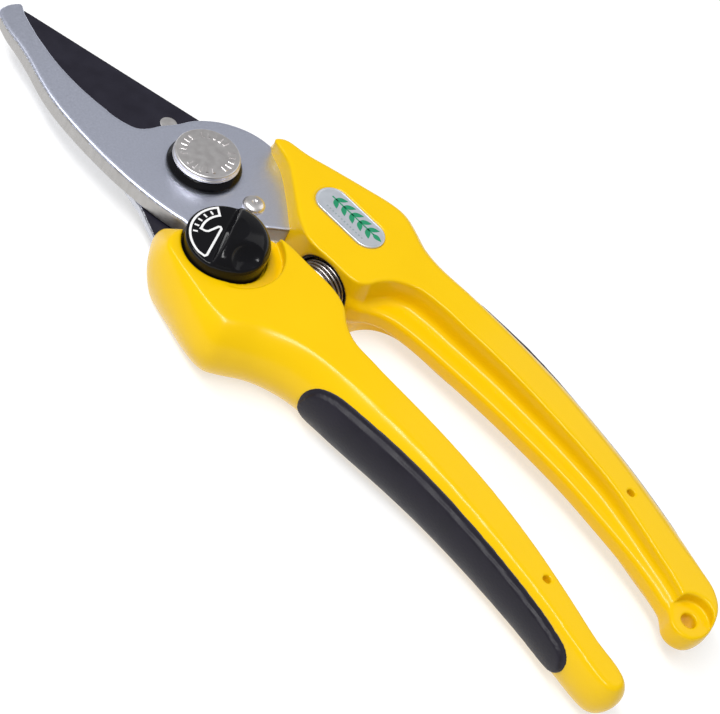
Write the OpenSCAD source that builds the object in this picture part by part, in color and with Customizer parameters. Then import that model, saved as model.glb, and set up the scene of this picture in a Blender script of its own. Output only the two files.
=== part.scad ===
// Bypass pruning shears: a hook jaw and a cutting blade on one pivot, with two
// moulded handles, a coil return spring and a lock dial.
// +Y points to the jaw tips, +X to the hook-side handle, +Z up through the pivot.
// The shears lie flat: z = 0 is the underside of the handles.

/* [Pivot] */
// Radius of the pivot bolt's shank
bolt_r = 4; // [3.5:0.1:4.3]
// Radius of the pivot bolt's head
head_r = 7.6; // [7:0.1:7.9]
// Radius of the collar under the head
collar_r = 8.5; // [8.2:0.1:9]
// Running clearance of shafts in their holes
run_gap = 0.05; // [0.02:0.01:0.1]

/* [Jaws] */
// Thickness of the hook plate
hook_t = 4.5; // [4:0.1:5]
// Thickness of the cutting blade
blade_t = 3; // [2.5:0.1:3.4]
// Gap between hook plate and blade
jaw_gap = 0.1; // [0.05:0.01:0.2]
// Radius of the blade's lobe round the pivot
lobe_r = 16.5; // [15:0.1:16.8]

/* [Handles] */
// Half of the handles' thickness
half_t = 9; // [8.5:0.1:9.5]
// Half of the thickness of the hook handle's inner flange
flange_half = 2.5; // [2:0.1:3]
// Radius of the hang hole
hang_r = 1.6; // [1.2:0.1:2]
// Radius of the boss face round the hang hole
boss_r = 4.4; // [4:0.1:4.6]

/* [Spring] */
// Outer radius of the return spring
spring_r = 6.3; // [5.5:0.1:6.4]
// Wire diameter of the return spring
wire_d = 1.5; // [1:0.1:1.8]
// Outer radius of the spring cups
cup_r = 7.3; // [7:0.1:7.4]
// Distance of a cup's floor from the middle of the gap
cup_x = 7.8; // [7:0.1:8]

/* [Lock dial] */
// Radius of the dial
dial_r = 9.4; // [9:0.1:9.6]
// Height of the dial's disc
dial_h = 3; // [3:0.1:4]
// Height of the thumb knob over the disc
knob_h = 2.4; // [2:0.1:3.5]
// Distance of the latch peg from the dial's axis
peg_arm = 7.5; // [7.3:0.1:7.6]
// Radius of the latch peg
peg_r = 1.4; // [1.2:0.1:1.5]

/* [Hidden] */
$fn = 48;
yellow = [0.98, 0.81, 0.06];
rubber = [0.13, 0.13, 0.16];
steel = [0.66, 0.68, 0.74];
nickel = [0.72, 0.70, 0.70];

// The model is laid out about the pivot axis, then moved so that the origin is the
// middle of its base. The base stands a hair above the ground.
base_gap = 0.05;
shift = [1.4, 41.9, half_t + base_gap];
dial_at = [-15.3, -22];        // axis of the lock dial
dial_z = 8.5;                  // underside of the dial's disc
spindle_r = 1.8;               // radius of the dial's spindle
neck_r = 1.3;                  // radius of its neck, which the clip holds
spindle_z = 0.6;               // lower end of the dial's spindle
spring_y = -37;                // axis of the return spring
hang_at = [4.4, -140.8];       // axis of the hang hole
rivet_at = [1.6, -14.5];       // catch rivet in the hook plate
blade_rivet_at = [5.6, 16.6];  // flush rivet in the blade
badge_at = [14.8, -30.6];
boss_half = flange_half + 0.2; // half the thickness of the hang boss
taper_y = -66;                 // where the handles begin to get thinner
taper = 0.0475;                // how fast they do, each side
grip_stand = 0.4;              // how far a grip stands out of its handle
bush_r = bolt_r + 1;
nut_z = -half_t + 0.6;
fit = 0.1;                     // clearance of a tang or a grip in its handle

// How far each level of a handle stands out: [height over half_t, share of the way
// from the top outline to the middle outline]
LEVELS = [[-1, 0], [-0.97, 0.14], [-0.72, 0.52], [-0.4, 0.86], [0, 1],
    [0.4, 0.86], [0.72, 0.52], [0.97, 0.14], [1, 0]];

// Stations round the blade handle: middle outline x, y, top outline x, y
BLADE_HANDLE = [
    [-3.4, -23.6, -4.6, -25.2], [-2.8, -26.8, -3.2, -27], [-2.6, -35, -3, -35],
    [-2.8, -43, -3.2, -43], [-4.1, -47.6, -4.6, -47.4], [-6.9, -51.2, -7.4, -50.9],
    [-8.8, -55.3, -9.3, -55], [-9.3, -62, -9.8, -62], [-9.4, -66, -9.9, -66],
    [-9.4, -81.8, -9.9, -81.8], [-10.3, -96.7, -10.8, -96.7], [-12.3, -110.4, -12.8, -110.3],
    [-14.9, -122, -15.4, -121.8], [-17.2, -131.5, -17.8, -131.1], [-17.8, -138, -18.8, -137.2],
    [-18.4, -140.5, -19.7, -139.3], [-19.8, -141.8, -20.7, -140],
    [-22.6, -141.5, -22.5, -139.7], [-24.4, -139.6, -23.4, -138.4],
    [-25, -136.4, -23.5, -136.4], [-24, -128.8, -22.2, -128.6],
    [-22.6, -119.8, -20.4, -119.8], [-21.6, -109.8, -19, -109.8], [-21.1, -99.7, -17.9, -99.7],
    [-21, -89.8, -17.2, -89.8], [-21.5, -79.8, -16.9, -79.8], [-22.5, -66, -17.3, -66],
    [-22.7, -60, -17.7, -60], [-23.8, -52, -18.7, -52], [-26.4, -46, -20.6, -46],
    [-29.9, -41.5, -23.3, -41.2], [-32.7, -38, -27, -37.4], [-33.3, -35, -28.5, -35],
    [-32.6, -30.3, -28.6, -31], [-30.9, -24.3, -27.6, -25], [-28.7, -17.5, -26.4, -18.5],
    [-26.3, -12.5, -25.4, -15.2], [-23.2, -9.4, -23.6, -14], [-20.5, -7.8, -21.4, -13.6],
    [-19.3, -8.6, -19.9, -14], [-16.6, -13.2, -17.6, -16.8], [-12.5, -17.2, -14, -19.9],
    [-8.4, -19.5, -9.6, -22.3], [-5.2, -21.2, -6.2, -23.6]];

// Stations round the thick rail of the hook handle, in the same form
HOOK_RAIL = [
    [18.4, -2.6, 16.4, -4.6], [20.4, -3, 18.4, -6], [22.3, -8, 19.6, -12],
    [25.2, -16, 21.6, -18], [28.2, -25, 24, -25.5], [30.4, -33, 26.2, -33],
    [30.5, -37, 26.4, -36.8], [29.3, -41, 25, -41], [27.4, -45.6, 23, -45.6],
    [26.6, -51, 22, -51], [26.7, -60, 22.2, -60], [26.9, -66, 22.2, -66],
    [27.1, -79.8, 22, -79.8], [26.6, -89.8, 21.5, -89.8], [25.4, -99.7, 20.3, -99.7],
    [23.8, -109.8, 18.8, -109.8], [21.6, -119.8, 16.7, -119.8], [19, -129, 14.8, -128.6],
    [16.2, -136, 13.6, -135.4], [13.4, -141, 12.4, -140.2], [10.2, -144.4, 9.6, -143.2],
    [4.6, -145.4, 5, -144.2], [1.2, -143.8, 2.2, -143], [0, -141, 1.2, -140.9],
    [0.9, -138.2, 1.9, -138.6], [5, -136.4, 5.6, -136.4], [6.6, -132.8, 7.2, -132.8],
    [8.2, -127.4, 8.7, -127.4], [10.4, -119.8, 10.9, -119.8], [12.4, -111.3, 12.9, -111.3],
    [13.5, -102.7, 14, -102.7], [14.1, -94.3, 14.6, -94.3], [14.5, -85.8, 15, -85.8],
    [14.6, -76.9, 15.1, -76.9], [14.2, -66, 14.7, -66], [14, -59, 14.5, -59],
    [13, -53, 13.5, -53], [10.2, -49.2, 10.8, -49], [6.8, -47.4, 7.4, -46.9],
    [4, -46.6, 4.6, -46], [2.2, -44.5, 2.6, -44], [2, -37, 2, -37], [2.2, -30, 2, -30],
    [3.4, -24.4, 3.9, -26], [9, -17.2, 9.7, -17.9], [14, -10.4, 14.5, -11]];

// Outline of the thin flange along the hook handle's inner side, down its inner wall
// and back up inside the rail
FLANGE = [
    [2.6, -44], [3.2, -47.4], [5.3, -49.7], [7, -52.6], [8, -57], [8.5, -62], [8.9, -70],
    [9.3, -80], [9.3, -92], [8.8, -104], [7.6, -114.5], [6.2, -124], [4.6, -131],
    [3.2, -135.4], [2.9, -137.6], [7, -138.2], [9, -133], [10, -124], [13, -112],
    [15.4, -100], [16.6, -86], [17, -70], [16.4, -54], [12, -44]];

// Hook plate: outer edge from the tip down, seat of the latch, tang, then back up
HOOK_PLATE = [[-2.2, 60.3], [-4, 61.3], [-7, 61.5], [-8.6, 60.4], [-10.6, 55.5], [-12, 49],
    [-13.4, 43.7], [-15, 38.6], [-16.2, 34], [-17, 29.4], [-17.6, 23], [-17.9, 14], [-17.7, 7],
    [-17.2, 1.6], [-16.6, -2.7], [-15.7, -7], [-15, -9.6], [-14.9, -12.9], [-10.5, -17.3],
    [-6, -19.3], [-1.1, -20.2], [3.6, -23.6], [8.6, -27], [11.5, -34], [12.5, -44],
    [15, -52], [19.5, -52], [22, -44], [24.5, -35], [22.5, -24], [20.2, -13], [18, -4.9],
    [18.1, -3], [17.8, -0.6], [16.9, 2.3], [15.1, 5.5], [12.3, 8.7], [8.9, 11], [6.6, 11.9],
    [3.7, 12.6], [-0.2, 14.1], [-3.4, 15.1], [-5.4, 16.4], [-7, 20], [-7.9, 25], [-8.4, 31],
    [-8.4, 35], [-8.1, 40], [-7.4, 44.4], [-6.3, 49.4], [-5.2, 53], [-3.8, 57]];

// Cutting blade: spine from the tip down to the lobe
BLADE_SPINE = [[-1.6, 61.6], [-0.2, 61.4], [0.5, 59.2], [12.9, 13.8], [14.6, 7.7]];
// Cutting blade: tang in the handle, then the convex cutting edge up to the tip
BLADE_TANG = [[-4.4, -15.9], [-6.6, -24], [-11.6, -30], [-12.4, -46], [-15.5, -54], [-19, -54],
    [-22.5, -44], [-26, -32], [-24.6, -20], [-21.6, -10.6], [-19.5, -5.6], [-17, 1],
    [-16.2, 7], [-15, 16], [-13.1, 27], [-10.8, 38], [-7.6, 50]];

// Side view of a grip inlay as it lies along the handle: y, half height
GRIP = [[-56.6, 0.4], [-57.3, 2.6], [-59.2, 4.8], [-63, 6.2], [-72, 6.6], [-84, 6.4],
    [-96, 6], [-108, 5.5], [-118, 5], [-124, 4.6], [-128, 3.9], [-129.8, 2.4], [-130.4, 0.4]];

function mix2(a, b, t) = a + (b - a) * t;

// Half of the handles' thickness at a place along their length
function half_at(y) = y > taper_y ? half_t : half_t + (y - taper_y) * taper;

// Ring of points of a station list at one level
function ring(st, lv) = [for (s = st)
    [mix2(s[2], s[0], lv[1]), mix2(s[3], s[1], lv[1]), lv[0] * half_at(s[3])]];

// Indices of the points of a ring on one side of the place where the taper begins
function cap(st, side) = [for (i = [0:len(st) - 1])
    if ((st[i][3] - taper_y) * side >= 0) i];
function reversed(list) = [for (i = [len(list) - 1:-1:0]) list[i]];

// Twice the area of a flat triangle, positive where its corners run clockwise
function turn(a, b, c) = (b.y - a.y) * (c.x - a.x) - (b.x - a.x) * (c.y - a.y);

// How good a corner of a clockwise outline is to cut off: the area of its triangle over
// its longest side squared, or -1 where the triangle isn't inside the outline
function corner(pts, ids, k) =
    let (n = len(ids), i = ids[(k + n - 1) % n], j = ids[k], h = ids[(k + 1) % n],
        a = pts[i], b = pts[j], c = pts[h],
        blocked = [for (m = ids) if (m != i && m != j && m != h
            && turn(a, b, pts[m]) >= 0 && turn(b, c, pts[m]) >= 0
            && turn(c, a, pts[m]) >= 0) m])
    turn(a, b, c) <= 0 || len(blocked) > 0 ? -1
        : turn(a, b, c) / pow(max(norm(b - a), norm(c - b), norm(a - c)), 2);

// Triangles that fill a clockwise outline, given as indices of its points
function filled(pts, ids) = len(ids) == 3 ? [ids]
    : let (n = len(ids), scores = [for (k = [0:n - 1]) corner(pts, ids, k)],
        k = search(max(scores), scores)[0])
    concat([[ids[(k + n - 1) % n], ids[k], ids[(k + 1) % n]]],
        filled(pts, [for (m = [0:n - 1]) if (m != k) ids[m]]));

// Closed solid lofted through all levels of a station list that runs clockwise. Its
// faces are flat on both sides of taper_y.
module loft(st) {
    n = len(st);
    last = (len(LEVELS) - 1) * n;
    pts = [for (lv = LEVELS) each ring(st, lv)];
    sides = [for (k = [0:len(LEVELS) - 2], i = [0:n - 1], h = [0, 1])
        let (j = (i + 1) % n, a = k * n + i, b = k * n + j)
        h == 0 ? [a, b, b + n] : [a, b + n, a + n]];
    flat = [for (s = st) [s[2], s[3]]];
    tris = [for (side = [-1, 1]) each filled(flat, cap(st, side))];
    caps = [for (t = tris) each [reversed(t), [for (i = t) last + i]]];
    polyhedron(points = pts, faces = concat(sides, caps));
}

// Outer side of a handle between the given stations, as [y, x] pairs for lookup
function side_line(st, first, last, col) =
    [for (i = [first:last]) [st[i][col + 1], abs(st[i][col])]];

BLADE_MID = side_line(BLADE_HANDLE, 19, 28, 0);
BLADE_TOP = side_line(BLADE_HANDLE, 19, 28, 2);
HOOK_MID = side_line(HOOK_RAIL, 9, 18, 0);
HOOK_TOP = side_line(HOOK_RAIL, 9, 18, 2);

// Distance of a handle's outer wall from the middle plane x = 0
function wall_x(side, y, z) = mix2(lookup(y, side > 0 ? HOOK_TOP : BLADE_TOP),
    lookup(y, side > 0 ? HOOK_MID : BLADE_MID), lookup(z / half_at(y), LEVELS));

// Distance of a grip's flat back from the middle plane
function back_x(side, g) = wall_x(side, g[0], g[1]) - 0.9;

// D-shaped section of a grip at one station, from its lower edge to its upper edge
function grip_ring(side, g) = [
    [side * back_x(side, g), g[0], -g[1]],
    for (t = [-1:0.25:1])
        [side * (wall_x(side, g[0], t * g[1]) + grip_stand * (1 - pow(t, 4))), g[0], t * g[1]],
    [side * back_x(side, g), g[0], g[1]]];

// Grip inlay: a solid lofted through its sections; side is 1 on the hook handle
module grip(side) {
    rings = [for (g = GRIP) grip_ring(side, g)];
    n = len(rings[0]);
    m = len(rings);
    sides = [for (k = [0:m - 2], i = [0:n - 1], h = [0, 1])
        let (j = (i + 1) % n, a = k * n + i, b = k * n + j)
        h == 0 ? [a, b, b + n] : [a, b + n, a + n]];
    faces = concat(sides, [reversed([for (i = [0:n - 1]) i])],
        [[for (i = [0:n - 1]) (m - 1) * n + i]]);
    polyhedron(points = [for (r = rings) each r],
        faces = side > 0 ? faces : [for (f = faces) reversed(f)]);
}

// Pocket for a grip inlay, with a clearance all round
module grip_pocket(side) {
    last = len(GRIP) - 1;
    intersection() {
        rotate([0, 90, 0])
            linear_extrude(120, center = true)
            polygon(concat([for (g = GRIP) [g[1] + fit, g[0]]],
                [for (i = [last:-1:0]) [-GRIP[i][1] - fit, GRIP[i][0]]]));
        translate([0, 0, -20])
            linear_extrude(40)
            polygon(concat([[side * 60, GRIP[0][0] + 2]],
                [[side * (back_x(side, GRIP[0]) - fit), GRIP[0][0] + 2]],
                [for (g = GRIP) [side * (back_x(side, g) - fit), g[0]]],
                [[side * (back_x(side, GRIP[last]) - fit), GRIP[last][0] - 2]],
                [[side * 60, GRIP[last][0] - 2]]));
    }
}

module along_x(x, r, h) {
    translate([x, spring_y, 0])
        rotate([0, 90, 0])
        cylinder(r = r, h = h);
}

// Sector of a ring round the dial's axis, from angle a0 to a1
module ring_sector(r0, r1, a0, a1, z0, z1) {
    translate([dial_at.x, dial_at.y, z0])
        intersection() {
            difference() {
                cylinder(r = r1, h = z1 - z0);
                translate([0, 0, -1])
                    cylinder(r = r0, h = z1 - z0 + 2);
            }
            linear_extrude(z1 - z0)
                polygon([[0, 0], 20 * [cos(a0), sin(a0)],
                    24 * [cos((a0 + a1) / 2), sin((a0 + a1) / 2)], 20 * [cos(a1), sin(a1)]]);
        }
}

// ---- hook side ----

module hook_jaw() {
    color(steel)
        translate(shift)
        difference() {
            linear_extrude(hook_t)
                polygon(HOOK_PLATE);
            translate([0, 0, -1])
                cylinder(r = bolt_r + run_gap, h = hook_t + 2);
            translate([rivet_at.x, rivet_at.y, -1])
                cylinder(r = 1.6, h = hook_t + 2);
            translate([dial_at.x, dial_at.y, -1])
                cylinder(r = peg_arm + peg_r + 0.35, h = hook_t + 2);
        }
}

module catch_rivet() {
    color(nickel)
        translate(shift)
        translate([rivet_at.x, rivet_at.y, 0])
        rotate_extrude()
        polygon([[0, 0.2], [1.55, 0.2], [1.55, hook_t + 0.02], [2.63, hook_t + 0.02],
            [2.6, hook_t + 0.5], [2.1, hook_t + 1.1], [1.2, hook_t + 1.45], [0.5, hook_t + 1.5],
            [0, hook_t + 1.5]]);
}

// Block that fills a tang's slot
module tang_slot(points, z0, z1) {
    translate([0, 0, z0])
        linear_extrude(z1 - z0)
        polygon(points);
}

module hook_handle() {
    color(yellow)
        translate(shift)
        difference() {
            union() {
                loft(HOOK_RAIL);
                translate([0, 0, -flange_half])
                    linear_extrude(2 * flange_half)
                    polygon(FLANGE);
            }
            tang_slot(HOOK_PLATE, -fit, hook_t + fit);
            along_x(-4, cup_r + run_gap, 4 + cup_x + fit);
            translate([hang_at.x, hang_at.y, -20])
                cylinder(r = hang_r, h = 40);
            for (s = [-1, 1])
                translate([hang_at.x, hang_at.y, s * (boss_half + 5)])
                    cylinder(r = boss_r, h = 10, center = true);
            grip_pocket(1);
            translate([badge_at.x, badge_at.y, half_t - 0.5])
                stadium(4.1, 11, 2);
        }
}

// Long flat block with round ends along Y
module stadium(r, length, h) {
    for (s = [-1, 1])
        translate([0, s * length / 2, 0])
            cylinder(r = r, h = h);
    translate([-r, -length / 2, 0])
        cube([2 * r, length, h]);
}

module hook_grip() {
    color(rubber)
        translate(shift)
        grip(1);
}

module badge() {
    color("silver")
        translate(shift)
        translate([badge_at.x, badge_at.y, half_t - 0.5])
        difference() {
            stadium(4, 11, 0.9);
            translate([0, 0, 0.65])
                stadium(3.4, 11, 1);
        }
}

// Spring cup open towards the gap; side is the sign of its X
module spring_cup(side) {
    color([0.12, 0.11, 0.12])
        translate(shift)
        mirror([side > 0 ? 0 : 1, 0, 0])
        difference() {
            along_x(2.6, cup_r, cup_x - 2.6);
            along_x(1, spring_r + 0.3, cup_x - 2.2);
        }
}

module hook_spring_cup() {
    spring_cup(1);
}

module pivot_bolt() {
    color(nickel)
        translate(shift)
        rotate_extrude($fn = 96)
        polygon([[0, -half_t + 0.2], [bolt_r - 0.4, -half_t + 0.2], [bolt_r, -half_t + 0.6],
            [bolt_r, hook_t + 2.1], [head_r - 0.4, hook_t + 2.1], [head_r, hook_t + 2.5],
            [head_r, hook_t + 3.6], [head_r - 0.5, hook_t + 4.1], [head_r - 1, hook_t + 4.2],
            [head_r - 1.1, hook_t + 4.1], [0, hook_t + 4.1]]);
}

module pivot_collar() {
    color([0.08, 0.08, 0.09])
        translate(shift)
        rotate_extrude($fn = 96)
        polygon([[bolt_r + run_gap, hook_t + 0.02], [collar_r, hook_t + 0.02],
            [collar_r - 0.1, hook_t + 0.9], [head_r - 0.2, hook_t + 2.08],
            [bolt_r + run_gap, hook_t + 2.08]]);
}

module pivot_bush() {
    color("goldenrod")
        translate(shift)
        translate([0, 0, -jaw_gap - blade_t - 0.02])
        difference() {
            cylinder(r = bush_r, h = blade_t + jaw_gap);
            translate([0, 0, -1])
                cylinder(r = bolt_r + 0.02, h = blade_t + 2);
        }
}

module pivot_washer() {
    color(steel)
        translate(shift)
        translate([0, 0, -jaw_gap - blade_t - 1.2])
        difference() {
            cylinder(r = 8, h = 1.1);
            translate([0, 0, -1])
                cylinder(r = bolt_r + 0.02, h = 3);
        }
}

module pivot_nut() {
    color(steel)
        translate(shift)
        translate([0, 0, nut_z])
        difference() {
            intersection() {
                cylinder(r = 7.5, h = 4, $fn = 6);
                translate([0, 0, -3.6])
                    cylinder(r1 = 3, r2 = 11, h = 8);
            }
            translate([0, 0, -1])
                cylinder(r = bolt_r + 0.02, h = 6);
        }
}

// Plain ribbed sleeve that holds the space of the coils
module return_spring() {
    color(steel)
        translate(shift)
        translate([-cup_x + 1.25, spring_y, 0])
        rotate([0, 90, 0])
        rotate_extrude()
        polygon(concat([[spring_r - wire_d, 0]],
            [for (k = [0:7], s = [0, 1])
                [spring_r - (s == 0 ? 0.5 : 0), (k + s / 2) * (2 * cup_x - 2.5) / 8]],
            [[spring_r - 0.5, 2 * cup_x - 2.5], [spring_r - wire_d, 2 * cup_x - 2.5]]));
}

// ---- blade side ----

module blade_blank() {
    translate([0, 0, -jaw_gap - blade_t])
        union() {
            linear_extrude(blade_t)
                polygon(concat(BLADE_SPINE, [[0, 0]], BLADE_TANG));
            cylinder(r = lobe_r, h = blade_t, $fn = 96);
        }
}

module cutting_blade() {
    color([0.15, 0.15, 0.18])
        translate(shift)
        difference() {
            blade_blank();
            translate([0, 0, -10])
                cylinder(r = bush_r + run_gap, h = 20);
            translate([blade_rivet_at.x, blade_rivet_at.y, -10])
                cylinder(r = 2.02, h = 20);
        }
}

module blade_rivet() {
    color(nickel)
        translate(shift)
        translate([blade_rivet_at.x, blade_rivet_at.y, -jaw_gap - blade_t])
        cylinder(r = 2, h = blade_t);
}

module blade_handle() {
    color(yellow)
        translate(shift)
        difference() {
            loft(BLADE_HANDLE);
            tang_slot(concat(BLADE_SPINE, [[0, 0]], BLADE_TANG), -jaw_gap - blade_t - fit,
                -jaw_gap + fit);
            along_x(-cup_x - fit, cup_r + run_gap, 12);
            translate([dial_at.x, dial_at.y, dial_z - 0.3])
                cylinder(r = dial_r + 1.2, h = 5, $fn = 96);
            ring_sector(peg_arm - peg_r - 0.35, peg_arm + peg_r + 0.35, 20, 130, 0.2, 12);
            translate([dial_at.x, dial_at.y, spindle_z])
                cylinder(r = spindle_r + run_gap, h = 20);
            grip_pocket(-1);
        }
}

module blade_grip() {
    color(rubber)
        translate(shift)
        grip(-1);
}

module blade_spring_cup() {
    spring_cup(-1);
}

module dial_spindle() {
    color(steel)
        translate(shift)
        translate([dial_at.x, dial_at.y, 0])
        rotate_extrude()
        polygon([[0, spindle_z], [spindle_r, spindle_z], [spindle_r, 9.95], [neck_r, 9.95],
            [neck_r, 10.5], [0, 10.5]]);
}

module dial_washer() {
    color(steel)
        translate(shift)
        translate([dial_at.x, dial_at.y, dial_z - 0.28])
        difference() {
            cylinder(r = 6, h = 0.2);
            translate([0, 0, -1])
                cylinder(r = spindle_r + run_gap, h = 3);
        }
}

module dial_clip() {
    color(steel)
        translate(shift)
        translate([dial_at.x, dial_at.y, 9.98])
        difference() {
            cylinder(r = 3.2, h = 0.5);
            translate([0, 0, -1])
                cylinder(r = neck_r + 0.02, h = 3);
            translate([0, -0.8, -1])
                cube([6, 1.6, 3]);
        }
}

// ---- lock dial ----

// Half dome that the thumb pushes, over the lower right of the disc
module thumb_knob() {
    top = dial_z + dial_h;
    intersection() {
        rotate_extrude($fn = 96)
            polygon([[0, top - 1], [dial_r - 0.3, top - 1], [dial_r - 0.4, top + 0.6],
                [dial_r - 1.2, top + 1.7], [dial_r - 3, top + knob_h - 0.2], [0, top + knob_h]]);
        rotate([0, 0, -67])
            translate([0.4, -20, 0])
            cube([40, 40, 40]);
    }
}

module lock_dial() {
    color([0.05, 0.05, 0.06])
        translate(shift)
        translate([dial_at.x, dial_at.y, 0])
        difference() {
            union() {
                rotate_extrude($fn = 96)
                    polygon([[0, dial_z], [dial_r - 0.2, dial_z], [dial_r, dial_z + 0.3],
                        [dial_r - 0.1, dial_z + dial_h - 0.6], [dial_r - 0.9, dial_z + dial_h],
                        [0, dial_z + dial_h]]);
                thumb_knob();
                rotate([0, 0, 116])
                    translate([peg_arm, 0, 0.4])
                    cylinder(r = peg_r, h = dial_z + 1);
            }
            translate([0, 0, dial_z - 1])
                cylinder(r = spindle_r + run_gap, h = 3.2);
            translate([0, 0, 9.9])
                cylinder(r = 3.6, h = 0.7);
        }
}

hook_jaw();
catch_rivet();
hook_handle();
hook_grip();
badge();
hook_spring_cup();
pivot_bolt();
pivot_collar();
pivot_bush();
pivot_washer();
pivot_nut();
return_spring();
cutting_blade();
blade_rivet();
blade_handle();
blade_grip();
blade_spring_cup();
dial_spindle();
dial_washer();
dial_clip();
lock_dial();
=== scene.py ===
"""Looks of a pair of closed bypass pruning shears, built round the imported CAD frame.

The moulded and ground parts are distance fields turned into smooth meshes. Lengths in
this file are millimetres about the pivot axis, and row() moves them into the row frame.
"""

import math

import bpy
import numpy as np
import openvdb
from mathutils import Matrix, Vector


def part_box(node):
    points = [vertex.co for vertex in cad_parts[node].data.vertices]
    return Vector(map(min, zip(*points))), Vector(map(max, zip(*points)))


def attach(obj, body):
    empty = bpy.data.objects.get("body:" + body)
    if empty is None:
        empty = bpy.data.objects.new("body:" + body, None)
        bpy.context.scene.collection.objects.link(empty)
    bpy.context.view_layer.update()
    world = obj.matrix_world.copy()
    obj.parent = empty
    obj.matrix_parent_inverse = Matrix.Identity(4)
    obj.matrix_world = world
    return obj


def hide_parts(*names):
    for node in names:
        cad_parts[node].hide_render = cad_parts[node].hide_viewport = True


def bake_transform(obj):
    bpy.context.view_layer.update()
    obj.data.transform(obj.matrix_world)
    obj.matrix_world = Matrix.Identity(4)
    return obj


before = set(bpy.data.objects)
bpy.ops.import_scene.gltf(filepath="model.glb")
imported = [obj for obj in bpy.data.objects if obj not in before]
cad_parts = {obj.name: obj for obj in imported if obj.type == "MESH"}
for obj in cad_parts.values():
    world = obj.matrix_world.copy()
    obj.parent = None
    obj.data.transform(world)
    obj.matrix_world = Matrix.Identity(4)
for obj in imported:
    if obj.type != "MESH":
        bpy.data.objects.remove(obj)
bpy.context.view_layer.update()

MM = 0.001
BOLT_FOOT = -8.8  # lowest point of the pivot bolt
bolt_lo, bolt_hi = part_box("pivot_bolt")
PIVOT = np.array([(bolt_lo.x + bolt_hi.x) / 2, (bolt_lo.y + bolt_hi.y) / 2,
                  bolt_lo.z - BOLT_FOOT * MM])

HALF_T = 9.0  # half the handles' thickness, before the taper that starts at TAPER_Y
TAPER_Y, TAPER = -66.0, 0.0475
HOOK_T = 4.5  # hook plate, from the cutting plane up
BLADE_LOW, BLADE_HIGH = -3.1, -0.1
LOBE_R = 16.5  # round part of the blade about the pivot
BOLT_R, BUSH_R, HEAD_R, COLLAR_R = 4.0, 5.0, 7.6, 8.5
DIAL = (-15.3, -22.0)
DIAL_R, DIAL_TOP, KNOB_TOP = 9.1, 11.6, 15.4
SPRING_Y, CUP_R, CUP_X = -37.0, 7.3, 7.8
COIL_R, WIRE_R = 5.8, 0.5
HANG = (4.4, -140.8)
HANG_R, BOSS_R, BOSS_HALF = 1.6, 4.4, 2.7
RIVET = (1.6, -14.5)
BLADE_RIVET = (5.6, 16.6)
BADGE = (14.8, -30.6)
BADGE_R, BADGE_LENGTH = 4.0, 11
BADGE_SEAT, BADGE_Z, BADGE_HALF = 8.5, 8.75, 0.35
BLADE_PIN, HOOK_PIN = (-16.4, -116.4), (15.0, -115.0)  # pin marks in the handles
PIN_R, PIN_FLOOR = 0.85, 4.2
GAP = 0.05  # clearance round the bolt, the bush and the spring cups

# Stations: middle outline x, y, top outline x, y, clockwise
BLADE_HANDLE = np.array([
    [-3.4, -23.6, -4.6, -25.2], [-2.8, -26.8, -3.2, -27], [-2.6, -35, -3, -35],
    [-2.8, -43, -3.2, -43], [-4.1, -47.6, -4.6, -47.4], [-6.9, -51.2, -7.4, -50.9],
    [-8.8, -55.3, -9.3, -55], [-9.3, -62, -9.8, -62], [-9.4, -66, -9.9, -66],
    [-9.4, -81.8, -9.9, -81.8], [-10.3, -96.7, -10.8, -96.7],
    [-12.3, -110.4, -12.8, -110.3], [-14.9, -122, -15.4, -121.8],
    [-17.2, -131.5, -17.8, -131.1], [-17.8, -138, -18.8, -137.2],
    [-18.4, -140.5, -19.7, -139.3], [-19.8, -141.8, -20.7, -140],
    [-22.6, -141.5, -22.5, -139.7], [-24.4, -139.6, -23.4, -138.4],
    [-25, -136.4, -23.5, -136.4], [-24, -128.8, -22.2, -128.6],
    [-22.6, -119.8, -20.4, -119.8], [-21.6, -109.8, -19, -109.8],
    [-21.1, -99.7, -17.9, -99.7], [-21, -89.8, -17.2, -89.8],
    [-21.5, -79.8, -16.9, -79.8], [-22.5, -66, -17.3, -66], [-22.7, -60, -17.7, -60],
    [-23.8, -52, -18.7, -52], [-26.4, -46, -20.6, -46], [-29.9, -41.5, -23.3, -41.2],
    [-32.7, -38, -27, -37.4], [-33.3, -35, -28.5, -35], [-32.6, -30.3, -28.6, -31],
    [-30.9, -24.3, -27.6, -25], [-28.7, -17.5, -26.4, -18.5],
    [-26.3, -12.5, -25.4, -15.2], [-23.2, -9.4, -23.6, -14], [-20.5, -7.8, -21.4, -13.6],
    [-19.3, -8.6, -19.9, -14], [-16.6, -13.2, -17.6, -16.8], [-12.5, -17.2, -14, -19.9],
    [-8.4, -19.5, -9.6, -22.3], [-5.2, -21.2, -6.2, -23.6]])
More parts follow.
